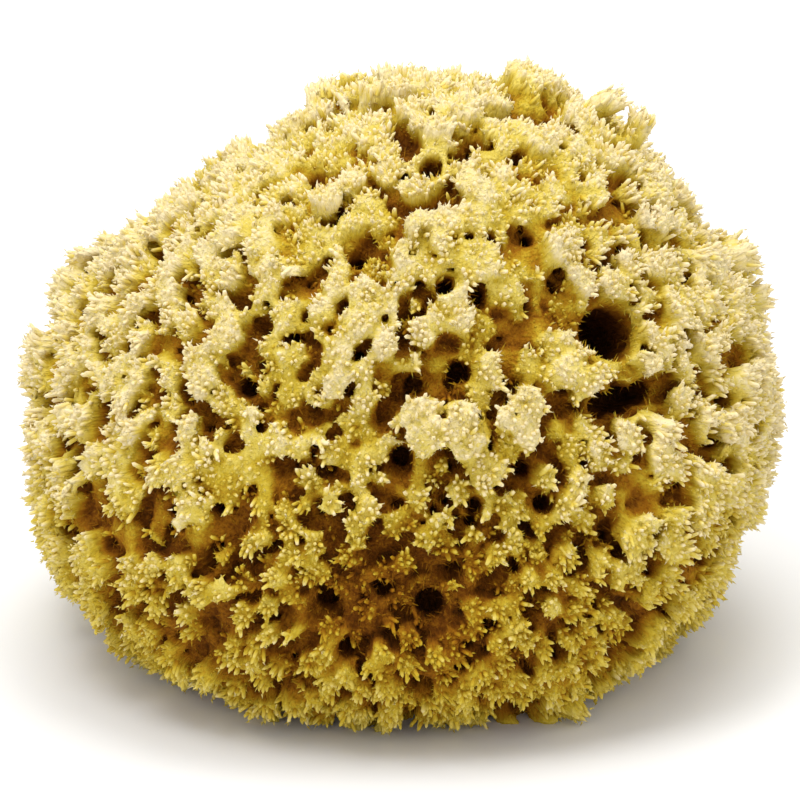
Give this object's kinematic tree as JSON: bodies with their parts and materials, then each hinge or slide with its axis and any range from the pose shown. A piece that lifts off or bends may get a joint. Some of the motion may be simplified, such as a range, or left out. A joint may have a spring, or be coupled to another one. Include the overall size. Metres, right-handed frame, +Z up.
{
  "type": "sea sponge",
  "caption": "Natural bath sponge: a squat ball of fibrous tufts with round canals and furrows, cut flat below, where it rests.",
  "frame": {"origin": "on the surface the sponge stands on, under the middle of its box", "axes": "+X along its width, to the right as seen from its face; -Y towards its face; +Z up from the flat cut"},
  "size_m": [0.1705, 0.1531, 0.1285],
  "materials": {
    "spongin": "matte, dry fibre; pale cream at the tips of the tufts, ochre on their sides and dark brown between them"
  },
  "bodies": {
    "root": {"sponge": "spongin"}
  },
  "joints": []
}
